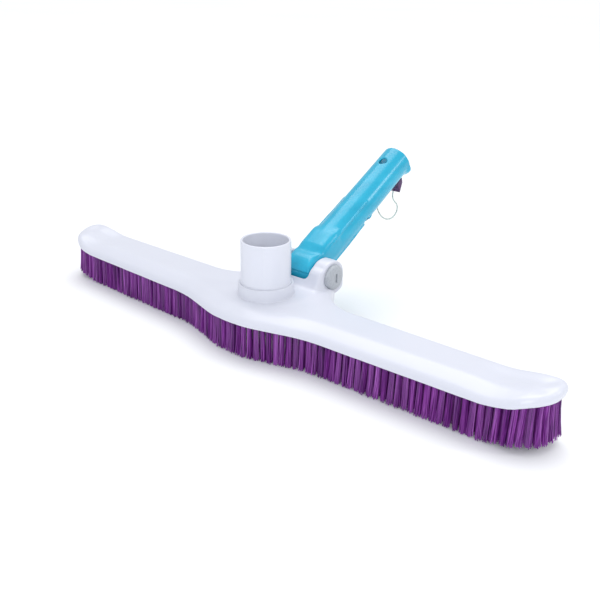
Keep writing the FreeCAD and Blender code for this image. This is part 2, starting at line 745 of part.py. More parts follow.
def handle():
    """Moulded tube with a barrel knuckle, a squared neck and an open end for the pole."""
    body = doc.addObject("PartDesign::Body", "handle")
    barrel = sketch_on(body, "knuckle_circle", "YZ_Plane")
    add_circle(barrel, "knuckle_radius", "0", "0 - tube_rise")
    pad(body, "knuckle", barrel, "knuckle_half * 2", centred=True)
    squared_neck(body)

    profile = sketch_on(body, "tube_profile", "YZ_Plane")
    add_polygon(profile, [
        ("neck_root", "0"),
        ("neck_root", "knuckle_radius - tube_rise - neck_ease"),
        ("neck_start * 2", "tube_base_radius"),
        ("neck_taper", "tube_base_radius"),
        ("handle_length", "tube_radius"),
        ("handle_length", "0"),
    ])
    turned(body, "Revolution", "tube", profile, "H_Axis")

    lip = sketch_on(body, "lip_profile", "YZ_Plane")
    add_polygon(lip, [
        ("handle_length - end_lip_length", "0 - tube_radius + end_lip"),
        ("handle_length - end_lip_length", "0 - tube_radius"),
        ("handle_length - lip_nose", "0 - tube_radius - end_lip"),
        ("handle_length", "0 - tube_radius - end_lip"),
        ("handle_length", "0 - tube_radius + end_lip"),
    ])
    pad(body, "end_lip_pad", lip, "end_lip_width", centred=True)
    side_ribs(body)

    flats = sketch_on(body, "knuckle_flats", "XY_Plane")
    limit = "ear_radius + flats_reach"
    for sign in ("", "0 - "):
        near = f"{sign}knuckle_half"
        far = f"{sign}ear_outer"
        add_polygon(flats, [(near, "0 - ear_radius"), (far, "0 - ear_radius"), (far, limit), (near, limit)])
    pocket(body, "knuckle_flats_cut", flats, "ear_radius * 3", centred=True)

    bore = sketch_on(body, "bore_profile", "YZ_Plane")
    add_polygon(bore, [
        ("bore_start", "0"),
        ("bore_start + tube_bore / 3", "tube_bore"),
        ("handle_length + overshoot", "tube_bore"),
        ("handle_length + overshoot", "0"),
    ])
    turned(body, "Groove", "bore", bore, "H_Axis")

    relief = sketch_on(body, "peg_relief_profile", "YZ_Plane")
    start = "peg_place - peg_relief_length / 2"
    finish = "peg_place + peg_relief_length / 2"
    add_polygon(relief, [
        (start, "0"),
        (start, "tube_bore + peg_relief"),
        (finish, "tube_bore + peg_relief"),
        (finish, "0"),
    ])
    turned(body, "Groove", "peg_relief", relief, "H_Axis")

    pin_hole = sketch_on(body, "pivot_hole_circle", "YZ_Plane")
    add_circle(pin_hole, "bolt_radius + running_gap", "0", "0 - tube_rise")
    pocket(body, "pivot_hole", pin_hole, "ear_outer * 2", centred=True)

    button = sketch_on(body, "button_circle", "XY_Plane")
    add_circle(button, "button_hole_radius", "0", "button_hole_place")
    pocket(body, "button_hole", button, "tube_radius * 2", reverse=True)

    below = sketch_on(body, "peg_circles", "XY_Plane")
    add_circle(below, "peg_radius + running_gap", "0", "peg_place")
    add_circle(below, "anchor_stem_radius", "0", "anchor_place")
    pocket(body, "peg_hole", below, "tube_radius * 2")

    notch = sketch_on(body, "notch_outline", "YZ_Plane")
    near = "notch_place - notch_length / 2"
    far = "notch_place + notch_length / 2"
    deep = "0 - tube_radius + notch_depth"
    low = "0 - tube_radius - overshoot"
    add_polygon(notch, [(near, low), (far, low), (far, deep), (near, deep)])
    pocket(body, "notch", notch, "tube_radius", reverse=True)
    return set_on_handle(body)


def squared_neck(body):
    """The neck's flat top and sides, as wide as the knuckle, with a round hood over the knuckle."""
    side = sketch_on(body, "neck_side_view", "YZ_Plane")
    turns = [f"( hood_reach * {share} )" for share in (1, 0.75, 0.5, 0.25)]
    hood = [(f"0 - ear_radius * sin{turn}", f"ear_radius * cos{turn} - tube_rise") for turn in turns]
    add_polygon(side, [
        ("0", "0 - neck_low"),
        *hood,
        ("0", "ear_radius - tube_rise"),
        ("neck_start", "neck_top"),
        ("neck_end", "neck_top"),
        ("neck_taper", "neck_top - neck_sink"),
        ("neck_taper", "0 - neck_low"),
    ])
    pad(body, "neck_pad", side, "knuckle_half * 2", centred=True)
    top = sketch_on(body, "neck_top_view", "XY_Plane")
    for sign in ("", "0 - "):
        side_face = f"{sign}( knuckle_half )"
        sunk_face = f"{sign}( knuckle_half - neck_sink )"
        add_polygon(top, [(side_face, "neck_end"), (sunk_face, "neck_taper"), (side_face, "neck_taper")])
    pocket(body, "neck_sides_cut", top, "ear_radius * 3", centred=True)


def side_ribs(body):
    """Two raised lines along each side of the neck, as a pair of thin plates through the tube."""
    for number, turn in enumerate((-1, 1), start=1):
        sketch = sketch_on(body, f"rib_profile_{number}", "XY_Plane")
        lean = FreeCAD.Rotation(Y_AXIS, turn * size("rib_spread") / 2)
        sketch.AttachmentOffset = FreeCAD.Placement(V(), lean)
        finish = "rib_place + rib_length"
        wide = "tube_base_radius + rib_height"
        add_polygon(sketch, [
            (f"0 - ( {wide} )", "rib_place"),
            (wide, "rib_place"),
            (wide, "neck_taper"),
            ("tube_radius", finish),
            ("0 - tube_radius", finish),
            (f"0 - ( {wide} )", "neck_taper"),
        ])
        pad(body, f"rib_{number}", sketch, "rib_width", centred=True)


def lock_peg():
    """Peg with a round shank and a finger block below the tube, sloped away from the pivot."""
    body = doc.addObject("PartDesign::Body", "lock_peg")
    block = sketch_on(body, "peg_block_outline", "YZ_Plane")
    near = "peg_place - peg_head_length / 2"
    far = "peg_place + peg_head_length / 2"
    low = "0 - peg_face - peg_head_height"
    top = "0 - peg_face"
    add_polygon(block, [
        (near, top),
        (near, low),
        (f"{near} + peg_head_taper", low),
        (f"{far} - peg_head_taper", "0 - peg_face - peg_heel_height"),
        (far, top),
    ])
    pad(body, "peg_block", block, "peg_head_width", centred=True)
    shank = sketch_on(body, "peg_shank_circle", "XY_Plane")
    add_circle(shank, "peg_radius", "0", "peg_place")
    pad(body, "peg_shank", shank, "peg_face + peg_radius", reverse=True)
    trim = sketch_on(body, "peg_trim_outline", "YZ_Plane")
    tip = "0 - tube_bore + peg_reach"
    add_polygon(trim, [
        ("peg_place - ear_radius", tip),
        ("peg_place + ear_radius", tip),
        ("peg_place + ear_radius", "tube_radius"),
        ("peg_place - ear_radius", "tube_radius"),
    ])
    pocket(body, "peg_trim", trim, "ear_radius * 2", centred=True)
    return set_on_handle(body)


def tether_anchor():
    """Round button under the tube, with a stem in the tube's wall, that holds the tether's end."""
    body = doc.addObject("PartDesign::Body", "tether_anchor")
    sketch = sketch_on(body, "anchor_profile", "XZ_Plane")
    head_low = "0 - anchor_seat - anchor_height"
    add_polygon(sketch, [
        ("0", head_low),
        ("anchor_face_radius", head_low),
        ("anchor_radius", "0 - anchor_seat - anchor_height / 2"),
        ("anchor_radius", "0 - anchor_seat"),
        ("anchor_stem_radius", "0 - anchor_seat"),
        ("anchor_stem_radius", "0 - tube_bore - running_gap"),
        ("0", "0 - tube_bore - running_gap"),
    ])
    turned(body, "Revolution", "anchor_turned", sketch, "V_Axis")
    place = handle_placement()
    body.Placement = place.multiply(FreeCAD.Placement(V(0, size("anchor_place"), 0), FreeCAD.Rotation()))
    return body


def tether():
    """Thin cord: straight runs joined by the largest tangent arcs that they allow."""
    peg = V(0, size("peg_place"), -size("peg_face"))
    anchor = V(0, size("anchor_place"), -size("anchor_seat"))
    points = [peg + V(*point) for point in ROUTE_FROM_PEG]
    points += [anchor + V(*point) for point in ROUTE_FROM_ANCHOR]
    edges = []
    radii = []
    start = points[0]
    for before, here, after in zip(points, points[1:], points[2:]):
        arriving = here - before
        leaving = after - here
        turn = arriving.getAngle(leaving)
        reach = ARC_SHARE * min(arriving.Length, leaving.Length)
        radii.append(round(reach / math.tan(turn / 2), 1))
        arriving.normalize()
        leaving.normalize()
        enter = here - arriving * reach
        leave = here + leaving * reach
        inward = (leaving - arriving).normalize()
        sagitta = radii_gap(reach, turn)
        middle = here + inward * sagitta
        edges.append(Part.LineSegment(start, enter).toShape())
        edges.append(Part.Arc(enter, middle, leave).toShape())
        start = leave
    edges.append(Part.LineSegment(start, points[-1]).toShape())
    path = Part.Wire(edges)
    first = points[1] - points[0]
    section = Part.Wire(Part.makeCircle(size("tether_radius"), points[0], first))
    item = doc.addObject("Part::Feature", "peg_tether")
    item.Shape = path.makePipeShell([section], True, False)
    area = math.pi * size("tether_radius") ** 2
    print("tether radii", radii, "length", round(path.Length, 1),
          "volume ratio", round(item.Shape.Volume / (area * path.Length), 4))
    item.Placement = handle_placement()
    return item


def radii_gap(reach, turn):
    """Distance from a corner to the middle of its tangent arc."""
    radius = reach / math.tan(turn / 2)
    return radius / math.cos(turn / 2) - radius


# ---------------------------------------------------------------- assembly and export

def build():
    plan = head_plan()
    nodes = [
        label(head_shell(plan), "head_shell"),
        label(bristle_plate(plan), "bristle_plate"),
        label(plate_screws(), "plate_screws"),
    ]
    nodes += bristle_nodes(plan)
    nodes += [
        hose_cuff(),
        flat_ring("cuff_seal", "collar_bore", "flange_radius", "seal_low", "seal_height"),
        flat_ring("cuff_retaining_ring", "cuff_bore + face_gap", "flange_bore", "ring_low", "ring_height"),
        pivot_bolt(),
        pivot_nut(),
        pivot_cap("pivot_knob", 1, True),
        pivot_cap("pivot_cap", -1, False),
        pivot_washer("pivot_washer_right", 1),
        pivot_washer("pivot_washer_left", -1),
        handle(),
        lock_peg(),
        tether_anchor(),
        tether(),
    ]
    return nodes


def check(nodes):
    """Stops before anything is written if any object failed or any piece is empty."""
    doc.recompute()
    failed = [item.Name for item in doc.Objects if {"Invalid", "Error"} & set(item.State)]
    empty = [item.Label for item in nodes if item.Shape.isNull() or not item.Shape.isValid()]
    if failed or empty:
        raise RuntimeError(f"failed: {failed}, not valid: {empty}")
    for item in nodes:
        print(item.Label, len(item.Shape.Solids), round(item.Shape.Volume))


def export(nodes):
    os.makedirs("parts", exist_ok=True)
    for item in nodes:
        item.Shape.exportStep(f"parts/{item.Label}.step")


fill_sheet()
pieces = build()
check(pieces)
export(pieces)
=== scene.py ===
"""Pool wall brush: the visible pieces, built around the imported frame.

Lengths are written in millimetres and turned to metres by MM. Colours are sRGB hex values.
"""

import math
import random

import bmesh
import bpy
import numpy as np
from mathutils import Matrix, Vector


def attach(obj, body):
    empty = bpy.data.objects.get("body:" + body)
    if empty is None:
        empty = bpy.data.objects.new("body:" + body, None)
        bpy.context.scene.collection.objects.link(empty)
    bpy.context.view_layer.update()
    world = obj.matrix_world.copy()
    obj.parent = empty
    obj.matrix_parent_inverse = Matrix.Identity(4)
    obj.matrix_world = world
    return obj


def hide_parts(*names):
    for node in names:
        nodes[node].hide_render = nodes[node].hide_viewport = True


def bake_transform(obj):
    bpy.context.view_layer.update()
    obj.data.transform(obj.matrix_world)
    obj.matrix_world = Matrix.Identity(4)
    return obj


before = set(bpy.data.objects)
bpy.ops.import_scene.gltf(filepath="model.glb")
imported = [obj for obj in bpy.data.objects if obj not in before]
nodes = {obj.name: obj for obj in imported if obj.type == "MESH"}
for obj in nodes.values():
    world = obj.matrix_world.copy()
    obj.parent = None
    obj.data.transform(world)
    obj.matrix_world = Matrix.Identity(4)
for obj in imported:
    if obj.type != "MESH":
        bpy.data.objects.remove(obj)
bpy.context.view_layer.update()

MM = 0.001

# The handle's frame: its axis is the tube's, which passes a little above the pivot, tilted up.
PIVOT = Vector((0, 48, 43.5)) * MM
HANDLE_TILT = math.radians(29.8)
TUBE_RISE = 1.2
HANDLE_FRAME = (Matrix.Translation(PIVOT) @ Matrix.Rotation(HANDLE_TILT, 4, "X")
                @ Matrix.Translation((0, 0, TUBE_RISE * MM)))


# ---------------------------------------------------------------- working with Blender's tools

def only(piece):
    """Makes one object the only selected one."""
    bpy.ops.object.select_all(action="DESELECT")
    piece.select_set(True)
    bpy.context.view_layer.objects.active = piece
    return piece


def open_mesh(piece, kind="VERT"):
    """Goes into edit mode with nothing selected."""
    only(piece)
    bpy.ops.object.mode_set(mode="EDIT")
    bpy.ops.mesh.select_mode(type=kind)
    bpy.ops.mesh.select_all(action="DESELECT")


def close_mesh():
    bpy.ops.object.mode_set(mode="OBJECT")


def middle(item):
    """The centre of a vertex, edge or face."""
    if isinstance(item, bmesh.types.BMVert):
        return item.co
    return sum((vertex.co for vertex in item.verts), Vector()) / len(item.verts)


def pick(piece, kind, test):
    """In edit mode, selects the vertices, edges or faces that pass a test, given in millimetres."""
    bpy.ops.mesh.select_mode(type=kind)
    bpy.ops.mesh.select_all(action="DESELECT")
    mesh = bmesh.from_edit_mesh(piece.data)
    items = {"VERT": mesh.verts, "EDGE": mesh.edges, "FACE": mesh.faces}[kind]
    for item in items:
        if test(middle(item) / MM, item):
            item.select_set(True)
    mesh.select_flush_mode()
    bmesh.update_edit_mesh(piece.data)


def turn_outwards(piece):
    """Merges doubles and makes every face point outwards."""
    open_mesh(piece)
    bpy.ops.mesh.select_all(action="SELECT")
    bpy.ops.mesh.remove_doubles(threshold=0.002 * MM)
    bpy.ops.mesh.normals_make_consistent(inside=False)
    close_mesh()


def modify(piece, kind, **settings):
    """Adds a modifier and applies it."""
    only(piece)
    modifier = piece.modifiers.new(kind.lower(), kind)
    for name, value in settings.items():
        setattr(modifier, name, value)
    bpy.ops.object.modifier_apply(modifier=modifier.name)
    return piece


def named(name):
    """Names the object that was just added, with its place put in its mesh."""
    piece = only(bpy.context.object)
    piece.name = name
    piece.data.name = name
    bpy.ops.object.transform_apply(location=True, rotation=True, scale=True)
    return piece


def box_piece(name, low, high):
    """A block between two corners, in millimetres."""
    low, high = Vector(low) * MM, Vector(high) * MM
    bpy.ops.object.select_all(action="DESELECT")
    bpy.ops.mesh.primitive_cube_add(size=1, location=(low + high) / 2, scale=high - low)
    return named(name)


def rod_piece(name, radius, start, finish, steps=64):
    """A round rod between two points, in millimetres."""
    start, finish = Vector(start) * MM, Vector(finish) * MM
    along = finish - start
    bpy.ops.object.select_all(action="DESELECT")
    bpy.ops.mesh.primitive_cylinder_add(
        vertices=steps, radius=radius * MM, depth=along.length, location=(start + finish) / 2,
        rotation=along.to_track_quat("Z", "Y").to_euler())
    return named(name)


def turned_piece(name, rings, steps=96, hollow=False):
    """A round piece about Z, drawn out ring by ring. Each ring is its radius and height."""
    radius, height = rings[0]
    bpy.ops.object.select_all(action="DESELECT")
    bpy.ops.mesh.primitive_circle_add(
        vertices=steps, radius=radius * MM, location=(0, 0, height * MM),
        fill_type="NOTHING" if hollow else "NGON")
    piece = named(name)
    only(piece)
    bpy.ops.object.mode_set(mode="EDIT")
    bpy.ops.mesh.select_all(action="SELECT")
    for next_radius, next_height in rings[1:] + (rings[:1] if hollow else []):
        bpy.ops.mesh.extrude_region_move(
            TRANSFORM_OT_translate={"value": (0, 0, (next_height - height) * MM)})
        share = next_radius / radius
        bpy.ops.transform.resize(value=(share, share, 1), center_override=(0, 0, next_height * MM))
        radius, height = next_radius, next_height
    close_mesh()
    turn_outwards(piece)
    return piece


def cut_out(piece, cutter, kind="DIFFERENCE"):
    modify(piece, "BOOLEAN", object=cutter, operation=kind, solver="EXACT")
    bpy.data.objects.remove(cutter)
    return piece


def copy_of_node(node, name):
    """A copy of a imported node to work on, with its loose triangles merged."""
    piece = bpy.data.objects.new(name, nodes[node].data.copy())
    bpy.context.scene.collection.objects.link(piece)
    piece.data.materials.clear()
    open_mesh(piece)
    bpy.ops.mesh.select_all(action="SELECT")
    bpy.ops.mesh.remove_doubles(threshold=0.001 * MM)
    close_mesh()
    return piece


def joined(name, pieces):
    bpy.ops.object.select_all(action="DESELECT")
    for piece in pieces:
        piece.select_set(True)
    bpy.context.view_layer.objects.active = pieces[0]
    bpy.ops.object.join()
    whole = bpy.context.object
    whole.name = name
    whole.data.name = name
    return whole


def smooth_faces(piece, angle=None):
    """Smooth shading all over, or with edges sharper than an angle in degrees kept."""
    only(piece)
    if angle is None:
        bpy.ops.object.shade_smooth()
    else:
        bpy.ops.object.shade_smooth_by_angle(angle=math.radians(angle))
    return piece


def points_of(piece):
    """The piece's points in millimetres, as an array."""
    flat = np.empty(len(piece.data.vertices) * 3, np.float32)
    piece.data.vertices.foreach_get("co", flat)
    return flat.reshape(-1, 3).astype(float) / MM


def set_points(piece, points):
    piece.data.vertices.foreach_set("co", (points * MM).astype(np.float32).ravel())
    piece.data.update()


def soft_step(low, high, value):
    share = np.clip((value - low) / (high - low), 0, 1)
    return share * share * (3 - 2 * share)


def relax(piece, weights, times, factor=0.5):
    """Smooths the piece, each point as much as its weight says."""
    group = piece.vertex_groups.new(name="relax")
    rounded = np.round(weights, 2)
    for weight in np.unique(rounded):
        if weight > 0:
            group.add(np.nonzero(rounded == weight)[0].tolist(), float(weight), "REPLACE")
    modify(piece, "SMOOTH", vertex_group=group.name, iterations=times, factor=factor)
    piece.vertex_groups.clear()


# ---------------------------------------------------------------- colours and materials

def colour(code):
    """An sRGB hex value as linear red, green, blue and alpha."""
    parts = [int(code[place:place + 2], 16) / 255 for place in (1, 3, 5)]
    linear = [part / 12.92 if part <= 0.04045 else ((part + 0.055) / 1.055) ** 2.4 for part in parts]
    return linear + [1]


def add_node(material, kind, links=None, **settings):
    """Adds a node. An entry of links is an input's name, and a value or another node's output."""
    tree = material.node_tree
    node = tree.nodes.new(kind)
    for name, value in settings.items():
        setattr(node, name, value)
    for name, value in (links or {}).items():
        if isinstance(value, bpy.types.NodeSocket):
            tree.links.new(value, node.inputs[name])
        else:
            node.inputs[name].default_value = value
    return node


def per_metre(size):
    """The scale of a pattern that repeats at a size in millimetres."""
    return 1 / (size * MM)


def start_material(name):
    """A material with only its output and the place of each point on the object."""
    material = bpy.data.materials.new(name)
    material.use_nodes = True
    material.node_tree.nodes.clear()
    place = add_node(material, "ShaderNodeTexCoord").outputs["Object"]
    return material, place


def finish_material(material, shader):
    add_node(material, "ShaderNodeOutputMaterial", {"Surface": shader.outputs["BSDF"]})
    return material


def ramp_of(material, value, stops):
    """A colour ramp through (place, hex colour) stops."""
    node = add_node(material, "ShaderNodeValToRGB", {"Fac": value})
    ramp = node.color_ramp
    while len(ramp.elements) < len(stops):
        ramp.elements.new(0.5)
    for element, (place, code) in zip(ramp.elements, stops):
        element.position = place
        element.color = colour(code)
    return node.outputs["Color"]


def noise_of(material, place, size, detail=2.0, roughness=0.5, distortion=0.0):
    node = add_node(material, "ShaderNodeTexNoise", {
        "Vector": place, "Scale": per_metre(size), "Detail": detail, "Roughness": roughness,
        "Distortion": distortion})
    return node.outputs["Fac"]


def range_of(material, value, low, high):
    node = add_node(material, "ShaderNodeMapRange", {"Value": value, "To Min": low, "To Max": high})
    return node.outputs["Result"]


def bump_of(material, height, depth, strength=1.0):
    return add_node(material, "ShaderNodeBump", {
        "Height": height, "Distance": depth * MM, "Strength": strength}).outputs["Normal"]


def moulded_white_abs(name, light, shade, gloss=0.3):
    """ABS, injection moulded and lightly polished: even white, soft gloss, faint orange peel."""
    material, place = start_material(name)
    clouds = noise_of(material, place, 70, 3)
    peel = noise_of(material, place, 1.6, 2)
    scuffs = noise_of(material, place, 9, 5, 0.62)
    shader = add_node(material, "ShaderNodeBsdfPrincipled", {
        "Base Color": ramp_of(material, clouds, [(0.3, shade), (0.7, light)]),
        "Roughness": range_of(material, scuffs, gloss - 0.02, gloss + 0.02),
        "IOR": 1.53,
        "Subsurface Weight": 0.06,
        "Subsurface Radius": (1.2 * MM, 1.2 * MM, 1.4 * MM),
        "Subsurface Scale": 1.0,
        "Normal": bump_of(material, peel, 0.004)})
    return finish_material(material, shader)


def moulded_blue_polypropylene():
    """Glossy polypropylene with faint flow lines along the tube, where the melt ran."""
    material, place = start_material("moulded_blue_polypropylene")
    along = add_node(material, "ShaderNodeMapping", {
        "Vector": place, "Rotation": (-HANDLE_TILT, 0, 0), "Scale": (1, 0.12, 1)}).outputs["Vector"]
    flow = noise_of(material, along, 9, 3)
    peel = noise_of(material, place, 1.8, 2)
    scuffs = noise_of(material, place, 7, 5, 0.6)
    shader = add_node(material, "ShaderNodeBsdfPrincipled", {
        "Base Color": ramp_of(material, flow, [(0.25, "#1FA3C3"), (0.5, "#25ACCC"), (0.8, "#30B5D4")]),
        "Roughness": range_of(material, scuffs, 0.2, 0.26),
        "IOR": 1.49,
        "Subsurface Weight": 0.05,
        "Subsurface Radius": (0.6 * MM, 1.2 * MM, 1.6 * MM),
        "Subsurface Scale": 1.0,
        "Normal": bump_of(material, peel, 0.003)})
    return finish_material(material, shader)


def drawn_purple_nylon():
    """Nylon filament, drawn: each one catches a narrow light and differs a little in tone; lighter and
    darker columns about a tuft wide are painted highlight and painted shade.
    """
    material, place = start_material("drawn_purple_nylon")
    drawn = add_node(material, "ShaderNodeMapping", {"Vector": place, "Scale": (1, 1, 0.04)})
    strands = noise_of(material, drawn.outputs["Vector"], 1.3, 2, 0.6)
    # The tufts noise paints columns: lighter ones as a painted highlight on the tuft cores, darker ones as
    # painted shade in the gaps between tufts.
    tufts = noise_of(material, drawn.outputs["Vector"], 7, 1)
    strands_and_painted_columns = add_node(material, "ShaderNodeMath", {0: strands, 1: tufts}, operation="ADD").outputs[0]
    half = add_node(material, "ShaderNodeMath", {0: strands_and_painted_columns, 1: 0.5}, operation="MULTIPLY").outputs[0]
    shader = add_node(material, "ShaderNodeBsdfPrincipled", {
        # The light stop is a painted highlight and the dark stop is painted shade, mixed with the strands'
        # own tone.
        "Base Color": ramp_of(material, half, [(0.36, "#4E1460"), (0.5, "#7E2E90"), (0.64, "#A956BA")]),
        "Roughness": range_of(material, strands, 0.28, 0.46),
        "IOR": 1.53,
        "Normal": bump_of(material, strands, 0.05)})
    return finish_material(material, shader)


def moulded_grey_nylon():
    """Glass-filled nylon: mid grey, satin, with a fine mottled skin."""
    material, place = start_material("moulded_grey_nylon")
    mottle = noise_of(material, place, 1.1, 4, 0.65)
    skin = noise_of(material, place, 0.5, 2)
    shader = add_node(material, "ShaderNodeBsdfPrincipled", {
        "Base Color": ramp_of(material, mottle, [(0.3, "#A2A7AC"), (0.7, "#BCC1C6")]),
        "Roughness": range_of(material, mottle, 0.34, 0.48),
        "IOR": 1.53,
        "Normal": bump_of(material, skin, 0.02)})
    return finish_material(material, shader)


def moulded_dark_purple_abs():
    """ABS with a fine spark-eroded grain, which keeps the finger block matt."""
    material, place = start_material("moulded_dark_purple_abs")
    grain = noise_of(material, place, 0.7, 3, 0.6)
    clouds = noise_of(material, place, 6, 2)
    shader = add_node(material, "ShaderNodeBsdfPrincipled", {
        "Base Color": ramp_of(material, clouds, [(0.3, "#3A1B46"), (0.7, "#532C60")]),
        "Roughness": range_of(material, grain, 0.38, 0.55),
        "IOR": 1.53,
        "Normal": bump_of(material, grain, 0.03)})
    return finish_material(material, shader)


def drawn_clear_nylon():
    """Nylon monofilament, drawn: pale green-grey, glossy, a little clear."""
    material, place = start_material("drawn_clear_nylon")
    bands = noise_of(material, place, 2.5, 2)
    shader = add_node(material, "ShaderNodeBsdfPrincipled", {
        "Base Color": ramp_of(material, bands, [(0.3, "#B9CBC2"), (0.7, "#D5E2DB")]),
        "Roughness": range_of(material, bands, 0.22, 0.34),
        "IOR": 1.53,
        "Transmission Weight": 0.25,
        "Normal": bump_of(material, bands, 0.02)})
    return finish_material(material, shader)


def turned_stainless_steel():
    """Stainless steel, turned on a lathe: bright, with fine rings about the pin's axis."""
    material, place = start_material("turned_stainless_steel")
    rings = add_node(material, "ShaderNodeTexWave", {
        "Vector": place, "Scale": per_metre(6), "Distortion": 1.5, "Detail": 2.0, "Detail Scale": 2.0},
        wave_type="RINGS", rings_direction="X").outputs["Fac"]
    stains = noise_of(material, place, 5, 4)
    shader = add_node(material, "ShaderNodeBsdfPrincipled", {
        "Base Color": ramp_of(material, stains, [(0.3, "#B9BBBD"), (0.7, "#D0D2D3")]),
        "Metallic": 1.0,
        "Roughness": range_of(material, rings, 0.2, 0.36),
        "Normal": bump_of(material, rings, 0.006)})
    return finish_material(material, shader)


def moulded_black_rubber():
    """EPDM rubber, moulded: nearly black and matt, with a dusty bloom."""
    material, place = start_material("moulded_black_rubber")
    bloom = noise_of(material, place, 4, 4, 0.6)
    shader = add_node(material, "ShaderNodeBsdfPrincipled", {
        "Base Color": ramp_of(material, bloom, [(0.35, "#1C1D1F"), (0.7, "#33353A")]),
        "Roughness": range_of(material, bloom, 0.6, 0.8),
        "Normal": bump_of(material, bloom, 0.02)})
    return finish_material(material, shader)


def painted_studio_floor():
    """Matt painted studio floor, near white, with very faint clouds."""
    material, place = start_material("painted_studio_floor")
    clouds = noise_of(material, place, 900, 2)
    shader = add_node(material, "ShaderNodeBsdfPrincipled", {
        "Base Color": ramp_of(material, clouds, [(0.3, "#F6F7F6"), (0.7, "#F9FAFA")]),
        "Roughness": 0.9,
        "Specular IOR Level": 0.2})
    return finish_material(material, shader)


WHITE_ABS = moulded_white_abs("moulded_white_abs", "#D6D8E1", "#D3D5DE")
WHITE_CUFF = moulded_white_abs("polished_white_abs_cuff", "#DCDEE6", "#D9DBE4", 0.26)
WHITE_PLATE = moulded_white_abs("moulded_white_abs_plate", "#DCDFE6", "#D5D8E0", 0.42)
BLUE = moulded_blue_polypropylene()
BRISTLE = drawn_purple_nylon()
GREY = moulded_grey_nylon()
PEG = moulded_dark_purple_abs()
TETHER = drawn_clear_nylon()
STEEL = turned_stainless_steel()
RUBBER = moulded_black_rubber()


def dress(piece, material):
    """Gives a piece its material."""
    piece.data.materials.clear()
    piece.data.materials.append(material)
    return piece


# ---------------------------------------------------------------- camera, floor and light

def camera():
    data = bpy.data.cameras.new("camera")
    data.lens = 46.895
    data.sensor_width = 36
    data.shift_x = 0.0505
    data.shift_y = 0.0269
    data.clip_start = 0.01
    viewer = bpy.data.objects.new("camera", data)
    viewer.location = (0.3792, -0.4036, 0.2611)
    viewer.rotation_euler = (math.pi / 2 - 0.414, 0, 0.748964)
    bpy.context.scene.collection.objects.link(viewer)
    bpy.context.scene.camera = viewer


def studio_floor():
    """A flat round floor that reaches beyond the view."""
    bpy.ops.object.select_all(action="DESELECT")
    bpy.ops.mesh.primitive_circle_add(vertices=96, radius=14, fill_type="NGON")
    floor = named("studio_floor")
    floor.data.materials.append(painted_studio_floor())


def soft_lamp(name, place, aim, size, power, tint):
    data = bpy.data.lights.new(name, "AREA")
    data.shape = "DISK"
    data.size = size
    data.energy = power
    data.color = colour(tint)[:3]
    lamp = bpy.data.objects.new(name, data)
    lamp.location = place
    lamp.rotation_euler = (Vector(aim) - Vector(place)).to_track_quat("-Z", "Y").to_euler()
    bpy.context.scene.collection.objects.link(lamp)


def studio_light():
    world = bpy.data.worlds.new("studio_air")
    world.use_nodes = True
    air = world.node_tree.nodes["Background"]
    air.inputs["Color"].default_value = colour("#F7F9FF")
    air.inputs["Strength"].default_value = 0.7
    bpy.context.scene.world = world
    bpy.context.scene.view_settings.view_transform = "Standard"
    daylight = bpy.data.lights.new("daylight", "SUN")
    daylight.energy = 1.45
    daylight.angle = math.radians(50)
    sun = bpy.data.objects.new("daylight", daylight)
    sun.rotation_euler = Vector((0.25, -0.3, -1)).to_track_quat("-Z", "Y").to_euler()
    bpy.context.scene.collection.objects.link(sun)
    soft_lamp("front_lamp", (0.9, -1.3, 0.9), (0, 0, 0.03), 0.9, 9.5, "#F6F9FF")
    soft_lamp("handle_lamp", (1.2, 0.68, 0.81), (0, 0.12, 0.1), 0.3, 2.2, "#FFFFFF")


camera()
studio_floor()
studio_light()


# ---------------------------------------------------------------- lock peg's tether

TUBE_RADIUS = 12.85            # at the open end
TUBE_DRAFT = 1.05              # the tube is this much thicker at the neck
HANDLE_LENGTH = 137.0
NECK_TAPER = 40.0
PEG_PLACE = 126.0
ANCHOR_PLACE = 96.0
TETHER_RADIUS = 0.6


def tube_radius(along):
    """The drafted tube's radius at a distance along it."""
    return TUBE_RADIUS + TUBE_DRAFT * (HANDLE_LENGTH - along) / (HANDLE_LENGTH - NECK_TAPER)


PEG_HALF = 3.9                 # half of the finger block's length along the tube
PEG_GAP = 0.15                 # between the tube and the block
PEG_FACE = tube_radius(PEG_PLACE - PEG_HALF) + PEG_GAP
# The route's points: across, along the tube, away from the floor.
ROUTE_FROM_PEG = [
    (0.0, -4.3, -9.3), (0.2, -7.8, -11.3), (0.8, -8.6, -17.6),
    (1.0, -5.7, -23.6), (0.6, -7.8, -30.0), (0.0, -14.7, -31.9)]
ROUTE_FROM_ANCHOR = [
    (-0.6, 8.4, -28.45), (-0.8, 3.4, -21.75), (-0.4, 0.7, -13.75), (0.0, 0.0, -6.05), (0.0, 0.0, -1.6)]


def on_handle(x, along, up):
    """A point in the handle's frame, in millimetres, as a place in metres."""
    return HANDLE_FRAME @ (Vector((x, along, up)) * MM)


def smooth_line(points, name="line"):
    """Points read off a smooth curve through the air, with these control points."""
    data = bpy.data.curves.new(name, "CURVE")
    data.dimensions = "3D"
    spline = data.splines.new("NURBS")
    spline.points.add(len(points) - 1)
    for target, point in zip(spline.points, points):
        target.co = (*point, 1)
    spline.order_u = 3
    spline.use_endpoint_u = True
    spline.resolution_u = 12
    holder = bpy.data.objects.new(name, data)
    bpy.context.scene.collection.objects.link(holder)
    bpy.context.view_layer.update()
    flat = bpy.data.meshes.new_from_object(holder)
    line = [vertex.co.copy() for vertex in flat.vertices]
    bpy.data.objects.remove(holder)
    bpy.data.curves.remove(data)
    bpy.data.meshes.remove(flat)
    return line


